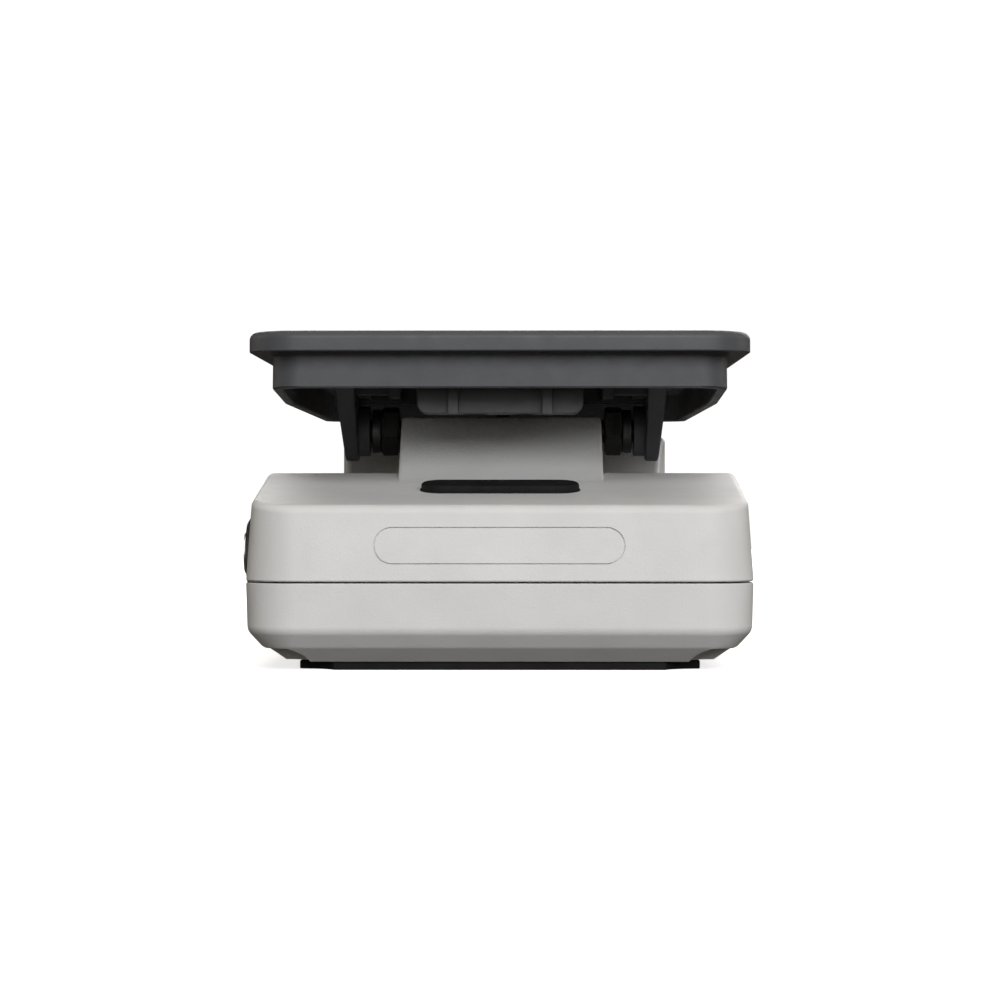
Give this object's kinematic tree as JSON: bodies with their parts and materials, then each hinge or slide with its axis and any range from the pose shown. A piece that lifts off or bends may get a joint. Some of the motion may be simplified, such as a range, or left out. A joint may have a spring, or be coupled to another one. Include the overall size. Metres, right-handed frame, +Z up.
{
  "type": "volume pedal",
  "caption": "Foot-operated volume pedal: a dark treadle rocking on a pale two-part cast base, with side sockets, rubber stops and a geared potentiometer inside.",
  "frame": {"origin": "on the floor, under the centre of the base", "axes": "+X to the player's right, +Y from the heel end to the toe end, +Z up; the treadle is level at rest"},
  "size_m": [0.1046, 0.176, 0.0671],
  "materials": {
    "base_paint": "fine matt powder coat, warm pale grey",
    "treadle_paint": "fine matt powder coat, dark grey",
    "rubber": "matt black rubber",
    "block_plastic": "matt grey plastic",
    "black_plastic": "matt black moulded plastic",
    "gear_plastic": "black acetal",
    "dark_steel": "blackened steel",
    "steel": "bright zinc-plated steel",
    "chrome": "bright nickel plate",
    "bronze": "sintered bronze",
    "board": "green solder mask",
    "wire": "PVC insulation"
  },
  "bodies": {
    "base": {"base_upper_housing": "base_paint", "base_lower_housing": "base_paint", "rubber_base_mat": "rubber", "case_screws": "dark_steel", "heel_bumper_pad": "rubber", "toe_bumper_pad": "rubber", "pivot_shaft": "dark_steel", "pivot_nuts": "dark_steel", "pivot_washers": "dark_steel", "output_jack_body": "black_plastic", "output_jack_sleeve": "chrome", "output_jack_nut": "dark_steel", "input_jack_body": "black_plastic", "input_jack_sleeve": "chrome", "input_jack_nut": "dark_steel", "circuit_board": "board", "board_screws": "steel", "pot_bracket": "steel", "bracket_screws": "steel", "potentiometer": "steel", "pot_nut": "steel", "pot_wires": "wire"},
    "treadle": {"treadle_casting": "treadle_paint", "treadle_grip_pad": "rubber", "heel_stop_block": "block_plastic", "pivot_bushings": "bronze", "sector_gear": "gear_plastic", "treadle_screws": "steel"},
    "pot_rotor": {"pot_shaft": "steel", "drive_pinion": "gear_plastic"}
  },
  "joints": [
    {"name": "treadle_rock", "type": "hinge", "parent": "base", "child": "treadle", "pos_m": [0, -0.0235, 0.0488], "axis": [1, 0, 0], "range_deg": [-8.5, 17]},
    {"name": "pot_turn", "type": "hinge", "parent": "base", "child": "pot_rotor", "pos_m": [0, 0.00705, 0.01825], "axis": [1, 0, 0], "range_deg": [-137, 69]}
  ],
  "couplings": [
    {"joint": "pot_turn", "follows": "treadle_rock", "ratio": -8}
  ]
}
